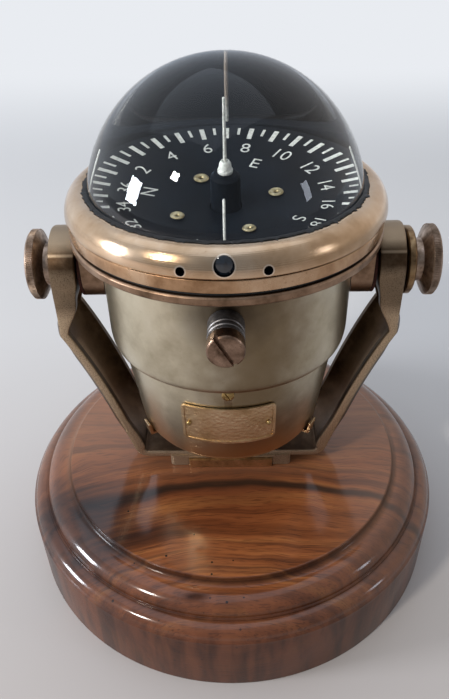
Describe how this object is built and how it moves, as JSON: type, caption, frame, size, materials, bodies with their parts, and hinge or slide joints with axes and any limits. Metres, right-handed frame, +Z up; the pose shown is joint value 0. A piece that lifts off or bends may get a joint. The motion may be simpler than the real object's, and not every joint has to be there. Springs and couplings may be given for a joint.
{
  "type": "binnacle compass",
  "caption": "Liquid-filled magnetic compass with a clear dome and brass bowl, tilting on clamp knobs in a cast yoke on a round turned wooden plinth.",
  "frame": {"origin": "middle of the plinth's underside, on the surface it stands on", "axes": "+Z up, +X along the bowl's tilt axis to the right, -Y towards the front, where the filler plug and the name plate are"},
  "size_m": [0.2, 0.2, 0.229],
  "materials": {
    "walnut": "gloss",
    "plate_brass": "satin",
    "cast_bronze": "satin",
    "machined_bronze": "satin",
    "dull_brass": "satin",
    "rose_bronze": "gloss",
    "rubber": "matte",
    "fibre": "matte",
    "clear_acrylic": "gloss",
    "black_enamel": "satin",
    "white_enamel": "satin",
    "steel": "satin",
    "lead": "matte"
  },
  "bodies": {
    "base": {"wood_plinth": "walnut", "slide_plate": "plate_brass", "yoke_bracket": "cast_bronze", "foot_screw_left_front": "plate_brass", "foot_screw_left_rear": "plate_brass", "foot_screw_right_front": "plate_brass", "foot_screw_right_rear": "plate_brass", "left_friction_washer": "fibre", "right_friction_washer": "fibre", "right_lock_disc": "dull_brass"},
    "bowl": {"upper_bowl": "dull_brass", "bowl_flange": "machined_bronze", "rim_gasket": "rubber", "clamp_band": "rose_bronze", "bezel": "rose_bronze", "lamp_window": "black_enamel", "dome": "clear_acrylic", "dome_sealant": "rubber", "lower_casing": "dull_brass", "bottom_cover": "dull_brass", "name_plate": "plate_brass", "plate_pin_left": "plate_brass", "plate_pin_right": "plate_brass", "casing_screw_front": "plate_brass", "casing_screw_left": "plate_brass", "casing_screw_right": "plate_brass", "filler_boss": "machined_bronze", "filler_plug": "machined_bronze", "expansion_diaphragm": "plate_brass", "diaphragm_ring": "dull_brass", "bowl_pivot_left": "steel", "bowl_pivot_right": "steel"},
    "left_knob": {"left_clamp_knob": "cast_bronze"},
    "right_knob": {"right_clamp_knob": "cast_bronze"},
    "gimbal": {"gimbal_ring": "dull_brass", "frame_pivot_front": "steel", "frame_pivot_rear": "steel"},
    "card_carrier": {"lubber_ring": "black_enamel", "card_stirrup": "black_enamel", "pivot_post": "steel", "ballast_weight": "lead", "lubber_pin_front": "white_enamel", "lubber_pin_left": "white_enamel", "lubber_pin_rear": "white_enamel", "lubber_pin_right": "white_enamel"},
    "card": {"compass_card": "black_enamel", "card_hub": "black_enamel", "jewel_cup": "clear_acrylic", "card_float": "plate_brass", "hub_finial": "white_enamel", "shadow_pin": "white_enamel", "card_magnet_west": "steel", "card_magnet_east": "steel", "card_rivet_ne": "plate_brass", "card_rivet_nw": "plate_brass", "card_rivet_se": "plate_brass", "card_rivet_sw": "plate_brass"}
  },
  "joints": [
    {"name": "bowl_tilt", "type": "hinge", "parent": "base", "child": "bowl", "pos_m": [0, 0, 0.1486], "axis": [1, 0, 0], "range_deg": [-60, 60]},
    {"name": "left_knob_turn", "type": "hinge", "parent": "bowl", "child": "left_knob", "pos_m": [-0.0705, 0, 0.1486], "axis": [-1, 0, 0], "range_deg": [0, 360]},
    {"name": "right_knob_turn", "type": "hinge", "parent": "bowl", "child": "right_knob", "pos_m": [0.0705, 0, 0.1486], "axis": [1, 0, 0], "range_deg": [0, 360]},
    {"name": "gimbal_pitch", "type": "hinge", "parent": "bowl", "child": "gimbal", "pos_m": [0, 0, 0.167], "axis": [1, 0, 0], "range_deg": [-20, 20]},
    {"name": "gimbal_roll", "type": "hinge", "parent": "gimbal", "child": "card_carrier", "pos_m": [0, 0, 0.167], "axis": [0, 1, 0], "range_deg": [-20, 20]},
    {"name": "card_turn", "type": "hinge", "parent": "card_carrier", "child": "card", "pos_m": [0, 0, 0.1734], "axis": [0, -0.134, 0.991], "continuous": true}
  ]
}
